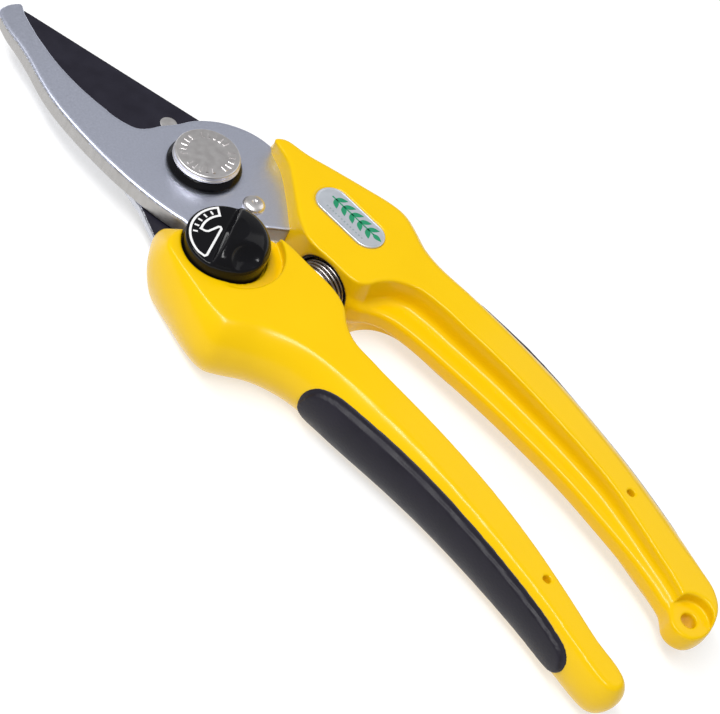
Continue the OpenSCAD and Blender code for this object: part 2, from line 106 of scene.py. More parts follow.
HOOK_RAIL = np.array([
    [18.4, -2.6, 16.4, -4.6], [20.4, -3, 18.4, -6], [22.3, -8, 19.6, -12],
    [25.2, -16, 21.6, -18], [28.2, -25, 24, -25.5], [30.4, -33, 26.2, -33],
    [30.5, -37, 26.4, -36.8], [29.3, -41, 25, -41], [27.4, -45.6, 23, -45.6],
    [26.6, -51, 22, -51], [26.7, -60, 22.2, -60], [26.9, -66, 22.2, -66],
    [27.1, -79.8, 22, -79.8], [26.6, -89.8, 21.5, -89.8], [25.4, -99.7, 20.3, -99.7],
    [23.8, -109.8, 18.8, -109.8], [21.6, -119.8, 16.7, -119.8],
    [19, -129, 14.8, -128.6], [16.2, -136, 13.6, -135.4], [13.4, -141, 12.4, -140.2],
    [10.2, -144.4, 9.6, -143.2], [4.6, -145.4, 5, -144.2], [1.2, -143.8, 2.2, -143],
    [0, -141, 1.2, -140.9], [0.9, -138.2, 1.9, -138.6], [5, -136.4, 5.6, -136.4],
    [6.6, -132.8, 7.2, -132.8], [8.2, -127.4, 8.7, -127.4], [10.4, -119.8, 10.9, -119.8],
    [12.4, -111.3, 12.9, -111.3], [13.5, -102.7, 14, -102.7], [14.1, -94.3, 14.6, -94.3],
    [14.5, -85.8, 15, -85.8], [14.6, -76.9, 15.1, -76.9], [14.2, -66, 14.7, -66],
    [14, -59, 14.5, -59], [13, -53, 13.5, -53], [10.2, -49.2, 10.8, -49],
    [6.8, -47.4, 7.4, -46.9], [4, -46.6, 4.6, -46], [2.2, -44.5, 2.6, -44],
    [2, -37, 2, -37], [2.2, -30, 2, -30], [3.4, -24.4, 3.9, -26],
    [9, -17.2, 9.7, -17.9], [14, -10.4, 14.5, -11]])
# Outline of the hook handle's inner flange
FLANGE = [
    [2.6, -44], [3.2, -47.4], [5.3, -49.7], [7, -52.6], [8, -57], [8.5, -62], [8.9, -70],
    [9.3, -80], [9.3, -92], [8.8, -104], [7.6, -114.5], [6.2, -124], [4.6, -131],
    [3.2, -135.4], [2.9, -137.6], [7, -138.2], [9, -133], [10, -124], [13, -112],
    [15.4, -100], [16.6, -86], [17, -70], [16.4, -54], [12, -44]]
HOOK_PLATE = [
    [-2.2, 60.3], [-4, 61.3], [-7, 61.5], [-8.6, 60.4], [-10.6, 55.5], [-12, 49],
    [-13.4, 43.7], [-15, 38.6], [-16.2, 34], [-17, 29.4], [-17.6, 23], [-17.9, 14],
    [-17.7, 7], [-17.2, 1.6], [-16.6, -2.7], [-15.7, -7], [-15, -9.6], [-14.9, -12.9],
    [-10.5, -17.3], [-6, -19.3], [-1.1, -20.2], [3.6, -23.6], [8.6, -27], [11.5, -34],
    [12.5, -44], [15, -52], [19.5, -52], [22, -44], [24.5, -35], [22.5, -24],
    [20.2, -13], [18, -4.9], [18.1, -3], [17.8, -0.6], [16.9, 2.3], [15.1, 5.5],
    [12.3, 8.7], [8.9, 11], [6.6, 11.9], [3.7, 12.6], [-0.2, 14.1], [-3.4, 15.1],
    [-5.4, 16.4], [-7, 20], [-7.9, 25], [-8.4, 31], [-8.4, 35], [-8.1, 40],
    [-7.4, 44.4], [-6.3, 49.4], [-5.2, 53], [-3.8, 57]]
BLADE_SPINE = [[-1.6, 61.6], [-0.2, 61.4], [0.5, 59.2], [12.9, 13.8], [14.6, 7.7]]
BLADE_TANG = [
    [-4.4, -15.9], [-6.6, -24], [-11.6, -30], [-12.4, -46], [-15.5, -54], [-19, -54],
    [-22.5, -44], [-26, -32], [-24.6, -20], [-21.6, -10.6], [-19.5, -5.6], [-17, 1],
    [-16.2, 7], [-15, 16], [-13.1, 27], [-10.8, 38], [-7.6, 50]]
# Upper half of the grips' side view, y then z
GRIP = np.array([
    [-55.6, 0.4], [-56, 2.6], [-57.6, 4.8], [-61.5, 6.2], [-72, 6.6], [-84, 6.4],
    [-96, 6], [-108, 5.5], [-118, 5], [-124, 4.6], [-128, 3.9], [-129.8, 2.4],
    [-130.4, 0.4]])
# Lines down the middle of each handle, y then x
BLADE_MIDDLE = [[-141, -21.5], [-130, -20.5], [-120, -18.8], [-110, -17], [-100, -15.8],
                [-90, -15.4], [-80, -15.4], [-66, -16], [-50, -14], [-30, -14]]
HOOK_MIDDLE = [[-141, 6], [-130, 12.5], [-120, 16], [-110, 18], [-100, 19.5], [-90, 20.5],
               [-66, 20.5], [-50, 18], [-30, 18]]

# ---- distance fields ----


def spline(points, per=6):
    """Points along the closed centripetal Catmull-Rom curve through the given ones."""
    p = np.array(points, float)
    a, b, c, d = (np.roll(p, k, 0) for k in (1, 0, -1, -2))
    k1, k2, k3 = (np.sqrt(np.linalg.norm(v, axis=1, keepdims=True)) + 1e-9
                  for v in (b - a, c - b, d - c))
    m1 = ((b - a) / k1 - (c - a) / (k1 + k2) + (c - b) / k2) * k2
    m2 = ((c - b) / k2 - (d - b) / (k2 + k3) + (d - c) / k3) * k2
    rows = []
    for i in range(per):
        t = i / per
        rows.append((2 * t**3 - 3 * t**2 + 1) * b + (t**3 - 2 * t**2 + t) * m1
                    + (3 * t**2 - 2 * t**3) * c + (t**3 - t**2) * m2)
    return np.stack(rows, 1).reshape(-1, p.shape[1])


def outline(loop, x, y):
    """Signed distance from grid points to a closed outline, negative inside."""
    best = np.full(np.broadcast(x, y).shape, 1e9)
    odd = np.zeros(best.shape, bool)
    for (ax, ay), (bx, by) in zip(loop, np.roll(loop, -1, 0)):
        ex, ey = bx - ax, by - ay
        t = np.clip(((x - ax) * ex + (y - ay) * ey) / (ex * ex + ey * ey + 1e-12), 0, 1)
        best = np.minimum(best, (x - ax - t * ex) ** 2 + (y - ay - t * ey) ** 2)
        if ay != by:
            odd ^= ((ay > y) != (by > y)) & (x < ex * (y - ay) / ey + ax)
    return np.where(odd, -1, 1) * np.sqrt(best)


def join(a, b, k):
    """Union of two fields with a fillet about k wide."""
    h = np.clip(0.5 + 0.5 * (b - a) / k, 0, 1)
    return b * (1 - h) + a * h - k * h * (1 - h)


def meet(a, b, k):
    """Intersection of two fields with an edge rounded over about k."""
    return -join(-a, -b, k)


def cut(a, b, k):
    """Field a without field b, with a rounded rim."""
    return meet(a, -b, k)


def circle(x, y, at, r):
    """Distance to a circle."""
    return np.hypot(x - at[0], y - at[1]) - r


def capsule(x, y, at, r, length):
    """Distance to a stadium that lies along Y."""
    return np.hypot(x - at[0], np.maximum(np.abs(y - at[1]) - length / 2, 0)) - r


def half_at(y):
    """Half of the handles' thickness, with a soft start of the taper."""
    soft = 3.0
    return HALF_T - TAPER * soft * np.log1p(np.exp((TAPER_Y - y) / soft))


def row(points):
    """Millimetres about the pivot to metres in the row frame."""
    return PIVOT + np.asarray(points, float) * MM


def sampled(f, p):
    """The field at points given in cells, between its grid points."""
    top = np.array(f.shape) - 1.001
    p = np.clip(p, 0, top)
    i = p.astype(int)
    u = p - i
    out = 0
    for dx in (0, 1):
        for dy in (0, 1):
            for dz in (0, 1):
                w = (np.abs(1 - dx - u[:, 0]) * np.abs(1 - dy - u[:, 1])
                     * np.abs(1 - dz - u[:, 2]))
                out = out + w * f[i[:, 0] + dx, i[:, 1] + dy, i[:, 2] + dz]
    return out


def add_mesh(name, points, faces, smooth=True):
    """New object from points in millimetres about the pivot."""
    mesh = bpy.data.meshes.new(name)
    mesh.from_pydata(row(points).tolist(), [], [list(map(int, f)) for f in faces])
    mesh.validate()
    mesh.update()
    mesh.polygons.foreach_set("use_smooth", [smooth] * len(mesh.polygons))
    obj = bpy.data.objects.new(name, mesh)
    bpy.context.scene.collection.objects.link(obj)
    return obj


def surface(name, field, lo, hi, step):
    """Mesh of the zero surface of field(x, y, z) inside a box."""
    axes = [np.arange(a, b + step, step) for a, b in zip(lo, hi)]
    x, y, z = (axes[0][:, None, None], axes[1][None, :, None], axes[2][None, None, :])
    f = np.broadcast_to(field(x, y, z), tuple(map(len, axes))).astype(np.float32)
    grid = openvdb.FloatGrid(5.0)
    grid.copyFromArray(np.ascontiguousarray(f))
    points, quads = grid.convertToQuads(isovalue=0.0)
    points = np.array(points, float)
    # Newton steps bring the points from the cells' middles onto the surface
    reach, most = 0.6, 0.3
    for _ in range(3):
        value = sampled(f, points)
        slope = np.stack([(sampled(f, points + e) - sampled(f, points - e)) / (2 * reach)
                          for e in np.eye(3) * reach], 1)
        size = np.maximum((slope**2).sum(1), 1e-4)
        move = np.clip(value / size, -most, most)
        points = points - slope * move[:, None]
    points = points * step + np.array(lo)
    quads = np.array(quads)
    a, b, c = (points[quads[:, k]] for k in (0, 1, 2))
    if (np.cross(b - a, c - a) * (a - points.mean(0))).sum() < 0:
        quads = quads[:, ::-1]
    return add_mesh(name, points, quads)


# ---- materials ----


def material(name, colour, second, rough, metal=0.0, size=1.0, spread=(1, 1, 1),
             bump=0.1, bump_size=0.4, coat=0.0, specular=0.5):
    """Procedural material: colour and gloss drift with a noise of the given size in
    millimetres, and a finer noise raises the surface. spread stretches both."""
    mat = bpy.data.materials.new(name)
    mat.use_nodes = True
    nodes, links = mat.node_tree.nodes, mat.node_tree.links
    shader = nodes["Principled BSDF"]
    for socket, value in (("Metallic", metal), ("Coat Weight", coat),
                          ("Coat Roughness", 0.08), ("Specular IOR Level", specular)):
        shader.inputs[socket].default_value = value
    where = nodes.new("ShaderNodeTexCoord")
    place = nodes.new("ShaderNodeMapping")
    place.inputs["Scale"].default_value = [1 / s for s in spread]
    links.new(where.outputs["Object"], place.inputs["Vector"])

    def noise(mm, detail):
        node = nodes.new("ShaderNodeTexNoise")
        node.inputs["Scale"].default_value = 1 / (mm * MM)
        node.inputs["Detail"].default_value = detail
        links.new(place.outputs["Vector"], node.inputs["Vector"])
        return node

    drift, grain = noise(size, 4), noise(bump_size, 3)
    ramp = nodes.new("ShaderNodeValToRGB")
    ramp.color_ramp.elements[0].color = (*second, 1)
    ramp.color_ramp.elements[1].color = (*colour, 1)
    ramp.color_ramp.elements[0].position = 0.25
    ramp.color_ramp.elements[1].position = 0.75
    links.new(drift.outputs["Fac"], ramp.inputs["Fac"])
    links.new(ramp.outputs["Color"], shader.inputs["Base Color"])
    gloss = nodes.new("ShaderNodeMapRange")
    for socket, value in (("From Min", 0.3), ("From Max", 0.7), ("To Min", rough[0]),
                          ("To Max", rough[1])):
        gloss.inputs[socket].default_value = value
    links.new(drift.outputs["Fac"], gloss.inputs["Value"])
    links.new(gloss.outputs["Result"], shader.inputs["Roughness"])
    raise_by = nodes.new("ShaderNodeBump")
    raise_by.inputs["Strength"].default_value = bump
    raise_by.inputs["Distance"].default_value = 0.0001
    links.new(grain.outputs["Fac"], raise_by.inputs["Height"])
    links.new(raise_by.outputs["Normal"], shader.inputs["Normal"])
    return mat


YELLOW = material("moulded_yellow", (0.84, 0.532, 0.001), (0.82, 0.512, 0.001),
                  (0.20, 0.27), size=14, bump=0.035, bump_size=2.2, coat=0.04,
                  specular=0.22)
STEEL = material("satin_steel", (0.78, 0.82, 0.98), (0.73, 0.77, 0.92), (0.34, 0.42),
                 metal=1.0, size=0.45, bump=0.1, bump_size=0.3)
# blanked steel for the side walls: a rougher finish, and a darker colour that is painted
# shade
SHADED_BLANKED = material("blanked_steel_painted_shade", (0.50, 0.49, 0.48), (0.40, 0.39, 0.38), (0.38, 0.5),
                   metal=1.0, size=1.2, spread=(1, 1, 4), bump=0.2, bump_size=0.3)
COATED = material("coated_blade", (0.016, 0.015, 0.026), (0.011, 0.010, 0.018),
                  (0.36, 0.48), size=4, bump=0.12, bump_size=0.3, specular=0.26)
BRIGHT = material("ground_steel", (0.62, 0.63, 0.68), (0.52, 0.54, 0.60), (0.22, 0.32),
                  metal=1.0, size=2, spread=(4, 0.4, 1), bump=0.1, bump_size=0.3)
NICKEL = material("nickel", (0.95, 0.93, 0.93), (0.84, 0.81, 0.81), (0.28, 0.36),
                  metal=1.0, size=1.6, bump=0.1, bump_size=0.5)
RUBBER = material("rubber", (0.014, 0.012, 0.021), (0.008, 0.007, 0.013), (0.42, 0.55),
                  size=5, bump=0.5, bump_size=0.6, specular=0.28)
BLACK = material("gloss_black", (0.006, 0.006, 0.008), (0.004, 0.004, 0.005),
                 (0.12, 0.18), size=6, bump=0.04, bump_size=1.5, specular=0.18)
CUP = material("cup_plastic", (0.016, 0.014, 0.015), (0.010, 0.009, 0.010), (0.4, 0.5),
               size=3, bump=0.2, bump_size=0.4)
SPRING = material("spring_wire", (0.36, 0.34, 0.33), (0.27, 0.25, 0.25), (0.22, 0.34),
                  metal=1.0, size=1.5, bump=0.12, bump_size=0.4)
BRASS = material("brass", (0.60, 0.42, 0.14), (0.52, 0.35, 0.11), (0.25, 0.35),
                 metal=1.0, size=2, bump=0.1, bump_size=0.3)
PLATE = material("badge_plate", (0.66, 0.70, 0.76), (0.60, 0.64, 0.70), (0.30, 0.38),
                 metal=0.55, size=2, bump=0.08, bump_size=0.3)
WHITE = material("white_print", (0.86, 0.86, 0.86), (0.80, 0.80, 0.80), (0.4, 0.5),
                 size=1.5, bump=0.1, bump_size=0.3)
GREEN = material("green_print", (0.012, 0.27, 0.13), (0.010, 0.24, 0.11), (0.35, 0.45),
                 size=1.5, bump=0.1, bump_size=0.3)
GREY = material("grey_print", (0.30, 0.36, 0.38), (0.27, 0.33, 0.34), (0.35, 0.45),
                size=1.5, bump=0.1, bump_size=0.3)


def finish_piece(obj, mat, body, nodes=()):
    """Material and body for a piece, and the CAD nodes that it stands in for."""
    obj.data.materials.append(mat)
    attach(obj, body)
    if nodes:
        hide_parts(*nodes)
    return obj


# ---- handles ----


def wall(stations, x, y, z):
    """Distance to the sloping side of a handle."""
    mid = outline(spline(stations[:, :2]), x[:, :, 0], y[:, :, 0])[:, :, None]
    top = outline(spline(stations[:, 2:]), x[:, :, 0], y[:, :, 0])[:, :, None]
    t = np.clip(np.abs(z) / half_at(y), 0, 1)
    round_share = 0.86
    share = 1 - round_share * t**2 - (1 - round_share) * t**8
    return top * (1 - share) + mid * share


GRIP_LOOP = spline(np.concatenate([GRIP, GRIP[::-1] * [1, -1]]))
POCKET_DEPTH = 2.0  # depth of the pockets that the grips sit in
POCKET_INSET = 0.5  # the pocket is this much smaller all round than the grip
UNDER = 0.85  # the grips reach further round below than above
HOOK_GRIP_FALL = 0.16
GRIP_STAND, GRIP_LIFT, GRIP_RAMP = 0.12, 0.7, 0.42  # rim, raised field, slope between
EDGE = 0.6  # rounding of the handles' edges
SKIRT_Z = 5.8
SCOOP_SHIFT, SCOOP_FALL = 1.6, 0.22
SLOT_R, SLOT_HALF, SLOT_FLOOR = 7.5, 1.75, 0.2
SLOT_MIDDLE, SLOT_SWEEP = 75, 55
SLOT_MM_PER_DEGREE = 0.13
FLANGE_HALF, FLANGE_EDGE, FLANGE_FILLET = 2.5, 1.6, 2.1


def grip_mask(x, y, z, middle, side):
    """Distance to the grip's side view, and to the outer half of the handle."""
    # above, the hook grip gets lower between y = -75 and y = -95
    over = 1 + HOOK_GRIP_FALL * np.clip((-75 - y) / 20, 0, 1) * (side > 0)
    height = np.where(z > 0, z * over, z * UNDER)[0]
    flat = outline(GRIP_LOOP, y[0, :, :], height)[None, :, :]
    middle = np.array(middle)
    line = np.interp(y, middle[:, 0], middle[:, 1])
    return flat, (line - x) * side


def handle_common(body, side_wall, x, y, z, middle, side, pin):
    """Pocket for the grip, two pin marks and the bore for the spring's cup."""
    flat, outer = grip_mask(x, y, z, middle, side)
    pocket = np.maximum(np.maximum(flat + POCKET_INSET, -(side_wall + POCKET_DEPTH)),
                        outer)
    body = cut(body, pocket, 0.35)
    for s in (-1, 1):
        body = cut(body, np.maximum(circle(x, y, pin, PIN_R), PIN_FLOOR - s * z), 0.25)
    bore = np.maximum(np.hypot(y - SPRING_Y, z) - CUP_R - GAP,
                      np.abs(x) - CUP_X - 2 * GAP)
    return cut(body, bore, 0.4)


def blade_handle_field(x, y, z):
    side_wall = wall(BLADE_HANDLE, x, y, z)
    body = meet(side_wall, np.abs(z) - half_at(y), EDGE)
    # crescent beside the dial, deepest away from the jaws and towards the gap
    lean = 0.688 * (x - DIAL[0]) - 0.725 * (y - DIAL[1])
    centre = (DIAL[0] + SCOOP_SHIFT, DIAL[1] - SCOOP_SHIFT)
    scoop = np.maximum(circle(x, y, centre, DIAL_R + 1.5),
                       HALF_T - SCOOP_FALL * lean - z)
    body = cut(body, scoop, 0.3)
    body = cut(body, np.maximum(circle(x, y, DIAL, DIAL_R + 0.35), SKIRT_Z - 0.2 - z),
               0.3)
    # curved slot for the dial's peg
    slot = np.maximum(np.abs(circle(x, y, DIAL, SLOT_R)) - SLOT_HALF, SLOT_FLOOR - z)
    angle = np.degrees(np.arctan2(y - DIAL[1], x - DIAL[0]))
    past_end = np.abs(angle - SLOT_MIDDLE) - SLOT_SWEEP
    body = cut(body, np.maximum(slot, past_end * SLOT_MM_PER_DEGREE), 0.3)
    return handle_common(body, side_wall, x, y, z, BLADE_MIDDLE, -1, BLADE_PIN)


def hook_handle_field(x, y, z):
    side_wall = wall(HOOK_RAIL, x, y, z)
    rail = meet(side_wall, np.abs(z) - half_at(y), EDGE)
    web = outline(spline(FLANGE), x[:, :, 0], y[:, :, 0])[:, :, None]
    body = join(rail, meet(web, np.abs(z) - FLANGE_HALF, FLANGE_EDGE), FLANGE_FILLET)
    body = cut(body, np.maximum(circle(x, y, HANG, BOSS_R), BOSS_HALF - np.abs(z)), 0.6)
    body = cut(body, circle(x, y, HANG, HANG_R) + 0 * z, 0.5)
    body = cut(body, np.maximum(capsule(x, y, BADGE, BADGE_R + 0.15, BADGE_LENGTH),
                                BADGE_SEAT - z), 0.35)
    return handle_common(body, side_wall, x, y, z, HOOK_MIDDLE, 1, HOOK_PIN)


def grip_field(stations, middle, side):
    """Field of a rubber inlay: flush round its rim, raised inside a crease."""
    def field(x, y, z):
        side_wall = wall(stations, x, y, z)
        flat, outer = grip_mask(x, y, z, middle, side)
        rim = np.interp(z, [-1, 1], [0.1, 0.9])
        rise = np.clip((-flat - rim) / GRIP_RAMP, 0, 1)
        # the hook grip's raised part fades out between y = -78 and y = -100
        fade = np.clip((100 + y) / 22, 0, 1) if side > 0 else 1
        stand = GRIP_STAND + GRIP_LIFT * fade * rise * rise * (3 - 2 * rise)
        pad = meet(side_wall - stand, flat, 0.3)
        return np.maximum(np.maximum(pad, -(side_wall + POCKET_DEPTH - 0.1)), outer)
    return field


FINE = 0.36
finish_piece(surface("blade_handle_shell", blade_handle_field, (-35, -144, -10),
                     (-1, -6, 10), FINE), YELLOW, "blade_side", ["blade_handle"])
finish_piece(surface("hook_handle_shell", hook_handle_field, (-1, -147, -10),
                     (32, -1, 10), FINE), YELLOW, "hook_side", ["hook_handle"])
finish_piece(surface("blade_grip_inlay", grip_field(BLADE_HANDLE, BLADE_MIDDLE, -1),
                     (-27, -132, -7.5), (-14, -55, 7.5), FINE * 0.8), RUBBER,
             "blade_side", ["blade_grip"])
finish_piece(surface("hook_grip_inlay", grip_field(HOOK_RAIL, HOOK_MIDDLE, 1),
                     (10, -132, -7.5), (29, -55, 7.5), FINE * 0.8), RUBBER,
             "hook_side", ["hook_grip"])

# ---- jaws ----

DIAL_NOTCH_R = 9.25
TIP_FALL = 1.1
HALF_ROOT = 0.7071


def chamfered(flat, z, low, high, size):
    """Plate between two levels whose edges are ground off."""
    slab = np.abs(z - (low + high) / 2) - (high - low) / 2
    return np.maximum(np.maximum(flat, slab), (flat + slab + size) * HALF_ROOT)


def hook_jaw_field(x, y, z):
    flat = outline(spline(HOOK_PLATE), x[:, :, 0], y[:, :, 0])[:, :, None]
    flat = np.maximum(flat, -circle(x, y, (0, 0), BOLT_R + GAP))
    flat = np.maximum(flat, -circle(x, y, DIAL, DIAL_NOTCH_R))
    # the upper face falls away towards the tip
    high = HOOK_T - TIP_FALL * (np.clip(y - 40, 0, None) / 20) ** 2
    # the outer edge is rounded over, the edge that meets the blade stays crisp
    middle = np.interp(y, [-20, 12, 30, 61], [0, 0, -12.5, -5.5])
    rounded_over = meet(flat, np.abs(z - high / 2) - high / 2, 0.9)
    return np.where(x < middle, rounded_over, chamfered(flat, z, 0 * y, high, 0.3))


def blade_field(x, y, z):
    loop = np.concatenate([BLADE_SPINE, [[0, 0]], BLADE_TANG])
    flat = outline(loop, x[:, :, 0], y[:, :, 0])[:, :, None]
    flat = join(flat, circle(x, y, (0, 0), LOBE_R), 0.5)
    flat = np.maximum(flat, -circle(x, y, (0, 0), BUSH_R + GAP))
    plate = chamfered(flat, z, BLADE_LOW, BLADE_HIGH, 0.22)
    # ground bevel on the far side of the cutting edge
    tip_side = [p for p in BLADE_TANG if p[1] > -6] + [[-1.6, 61.6]]
    edge = outline(np.array(tip_side + [[60, 61.6], [60, -20], [-18.5, -20]]),
                   x[:, :, 0], y[:, :, 0])[:, :, None]
    land = BLADE_LOW + np.interp(y, [2, 14], [1.0, 2.7])
    rise, run = 0.93, 0.37
    bevel = (land - z) * rise + edge * run
    return np.maximum(plate, bevel)


THIN = 0.3
jaw = finish_piece(surface("hook_jaw_plate", hook_jaw_field, (-19, -53.5, -1),
                           (26, 63, 5.5), THIN), STEEL, "hook_side", ["hook_jaw"])
# the plate's side walls are rougher than its ground faces, and get a darker colour that
# is painted shade
jaw.data.materials.append(SHADED_BLANKED)
for face in jaw.data.polygons:
    if abs(face.normal.z) < 0.5:
        face.material_index = 1
blade = finish_piece(surface("blade_plate", blade_field, (-27.5, -55.5, -4),
                             (18, 63, 0.8), THIN), COATED, "blade_side",
                     ["cutting_blade"])
# the coating is ground away along the cutting edge
blade.data.materials.append(BRIGHT)
for face in blade.data.polygons:
    at = (np.array(blade.matrix_world @ face.center) - PIVOT) / MM
    cutting_side = at[0] < np.interp(at[1], [-10, 8, 50, 61], [-9, -1, -4, -3])
    if cutting_side and abs(face.normal.z) < 0.97:
        face.material_index = 1

# ---- turned parts ----


def lathe(name, profile, at=(0, 0), count=96, close=True):
    """Solid of revolution about Z from [radius, z] pairs that run upwards outside.
    close caps both ends; without it the profile is a loop."""
    rings = len(profile)
    a = np.arange(count) * 2 * math.pi / count
    points = [[at[0] + r * math.cos(t), at[1] + r * math.sin(t), z]
              for r, z in profile for t in a]
    faces = []
    for k in range(rings - 1 if close else rings):
        m = (k + 1) % rings
        for i in range(count):
            j = (i + 1) % count
            faces.append([k * count + i, k * count + j, m * count + j, m * count + i])
    if close:
        faces.append(list(range(count))[::-1])
        faces.append([(rings - 1) * count + i for i in range(count)])
    return add_mesh(name, points, faces)


def rounded(profile, r=0.25, steps=4):
    """A profile with its inner corners rounded by short curves."""
    p = np.array(profile, float)
    out = [p[0]]
    for a, b, c in zip(p, p[1:], p[2:]):
        la, lc = np.linalg.norm(a - b), np.linalg.norm(c - b)
        s = min(r, la / 2.1, lc / 2.1)
        p0, p2 = b + (a - b) / la * s, b + (c - b) / lc * s
        for t in np.linspace(0, 1, steps + 1):
            out.append((1 - t) ** 2 * p0 + 2 * t * (1 - t) * b + t**2 * p2)
    out.append(p[-1])
    return out


def bars(name, rows, low, high):
    """Small raised bars, each given as centre x, y, length, width and angle."""
    points, faces = [], []
    for x, y, length, width, angle in rows:
        c, s = math.cos(math.radians(angle)), math.sin(math.radians(angle))
        base = len(points)
        for z, shrink in ((low, 1.0), (high, 0.8)):
            for u, v in ((-1, -1), (1, -1), (1, 1), (-1, 1)):
                du, dv = u * length / 2 * shrink, v * width / 2 * shrink
                points.append([x + du * c - dv * s, y + du * s + dv * c, z])
        faces += [[base + i for i in q] for q in
                  ((3, 2, 1, 0), (4, 5, 6, 7), (0, 1, 5, 4), (1, 2, 6, 5), (2, 3, 7, 6),
                   (3, 0, 4, 7))]
    return add_mesh(name, points, faces, smooth=False)


HEAD_Z = HOOK_T + 4.1
bolt = lathe("pivot_bolt_head", rounded([
    [0.01, BOLT_FOOT], [BOLT_R - 0.4, BOLT_FOOT], [BOLT_R, BOLT_FOOT + 0.4],
    [BOLT_R, HOOK_T + 2.1], [HEAD_R - 0.3, HOOK_T + 2.1], [HEAD_R, HOOK_T + 2.5],
    [HEAD_R, HOOK_T + 2.9], [HEAD_R - 0.2, HOOK_T + 3.0], [HEAD_R - 0.2, HEAD_Z - 0.35],
    [HEAD_R - 0.45, HEAD_Z - 0.05], [4.0, HEAD_Z + 0.02], [0.01, HEAD_Z + 0.03]], 0.14))
finish_piece(bolt, NICKEL, "hook_side", ["pivot_bolt"])
TICKS = [[5.4 * math.cos(math.radians(a)), 5.4 * math.sin(math.radians(a)), 1.7, 0.6, a]
         for a in range(0, 360, 15) if a % 90 < 75]
finish_piece(bars("pivot_head_ticks", TICKS, HEAD_Z - 0.2, HEAD_Z + 0.2), NICKEL,
             "hook_side")
finish_piece(lathe("pivot_collar_ring", rounded([
    [BOLT_R + 0.1, HOOK_T + 0.02], [COLLAR_R, HOOK_T + 0.02], [COLLAR_R, HOOK_T + 0.7],
    [COLLAR_R - 0.15, HOOK_T + 1.0], [HEAD_R - 0.15, HOOK_T + 2.08],
    [BOLT_R + 0.1, HOOK_T + 2.08]], 0.2), close=False), BLACK, "hook_side",
    ["pivot_collar"])
finish_piece(lathe("catch_rivet_dome", rounded([
    [0.01, 0.2], [1.55, 0.2], [1.55, HOOK_T + 0.02], [2.63, HOOK_T + 0.02],
    [2.62, HOOK_T + 0.35], [2.35, HOOK_T + 0.9], [1.75, HOOK_T + 1.25],
    [1.0, HOOK_T + 1.38], [0.6, HOOK_T + 1.38], [0.42, HOOK_T + 1.2],
    [0.01, HOOK_T + 1.2]], 0.3), at=RIVET, count=48), NICKEL, "hook_side",
    ["catch_rivet"])
finish_piece(lathe("blade_rivet_face", rounded([
    [0.01, BLADE_LOW - 0.03], [2, BLADE_LOW - 0.03], [2, BLADE_HIGH + 0.02],
    [1.8, BLADE_HIGH + 0.06], [0.01, BLADE_HIGH + 0.06]], 0.1), at=BLADE_RIVET,
    count=48), NICKEL, "blade_side", ["blade_rivet"])

# ---- lock dial ----

KNOB_ANGLE = math.radians(-62)  # direction of the half dome from the dial's axis
PEG_ANGLE, PEG_R = math.radians(116), 1.4
HOLLOW_AT, HOLLOW_R = (-2.6, -9.7, 16.9), 6.1
CROWN = 0.03
FACE_AT, FACE_BOW, FACE_SLOPE = 1.4, 0.004, 0.45
SPINDLE_BORE_R, SPINDLE_BORE_TOP = 1.85, 10.6


def dial_field(x, y, z):
    dx, dy = x - DIAL[0], y - DIAL[1]
    r = np.hypot(dx, dy)
    disc = meet(r - DIAL_R, np.abs(z - (SKIRT_Z + DIAL_TOP) / 2)
                - (DIAL_TOP - SKIRT_Z) / 2, 0.8)
    along = dx * math.cos(KNOB_ANGLE) + dy * math.sin(KNOB_ANGLE)
    across = -dx * math.sin(KNOB_ANGLE) + dy * math.cos(KNOB_ANGLE)
    # half dome, bounded by a slightly bowed sloping face
    dome = meet(r - DIAL_R + 0.05, z - KNOB_TOP + CROWN * r**2, 2.6)
    dome = np.maximum(dome, 9.0 - z)
    face = -(along + FACE_AT - FACE_BOW * across**2) + (z - DIAL_TOP) * FACE_SLOPE
    dome = meet(dome, face, 0.8)
    # hollow for the thumb on the knob's lower side
    hollow = np.sqrt((dx - HOLLOW_AT[0]) ** 2 + (dy - HOLLOW_AT[1]) ** 2
                     + (z - HOLLOW_AT[2]) ** 2) - HOLLOW_R
    dome = cut(dome, hollow, 0.5)
    peg = np.hypot(dx - SLOT_R * math.cos(PEG_ANGLE), dy - SLOT_R * math.sin(PEG_ANGLE))
    peg = np.maximum(np.maximum(peg - PEG_R, 0.4 - z), z - 9)
    body = join(join(disc, dome, 0.3), peg, 0.01)
    bore = np.maximum(r - SPINDLE_BORE_R, z - SPINDLE_BORE_TOP)
    return np.maximum(body, -bore)


finish_piece(surface("lock_dial_knob", dial_field, (-25.5, -32.2, -0.5),
                     (-5, -12, 15), 0.25), BLACK, "dial",
             ["lock_dial"])


def ribbon(name, path, width, low, high, at=(0, 0)):
    """Flat raised line round a closed path, mitred at its corners."""
    p = np.array(path, float) + at
    n = len(p)
    before, after = np.roll(p, 1, 0), np.roll(p, -1, 0)
    d0 = (p - before) / np.linalg.norm(p - before, axis=1, keepdims=True)
    d1 = (after - p) / np.linalg.norm(after - p, axis=1, keepdims=True)
    normal = np.stack([-(d0 + d1)[:, 1], (d0 + d1)[:, 0]], 1)
    normal /= np.linalg.norm(normal, axis=1, keepdims=True)
    miter = np.clip((normal * np.stack([-d0[:, 1], d0[:, 0]], 1)).sum(1), 0.45, 1)
    off = normal * (width / 2 / miter)[:, None]
    points = [[*q, z] for z in (low, high) for s in (-1, 1) for q in p + s * off]
    faces = []
    for i in range(n):
        j = (i + 1) % n
        lr, ll, hr, hl = (k * n for k in range(4))
        faces += [[hr + i, hr + j, hl + j, hl + i], [lr + j, lr + i, ll + i, ll + j],
                  [lr + i, lr + j, hr + j, hr + i], [ll + j, ll + i, hl + i, hl + j]]
    return add_mesh(name, points, faces, smooth=False)


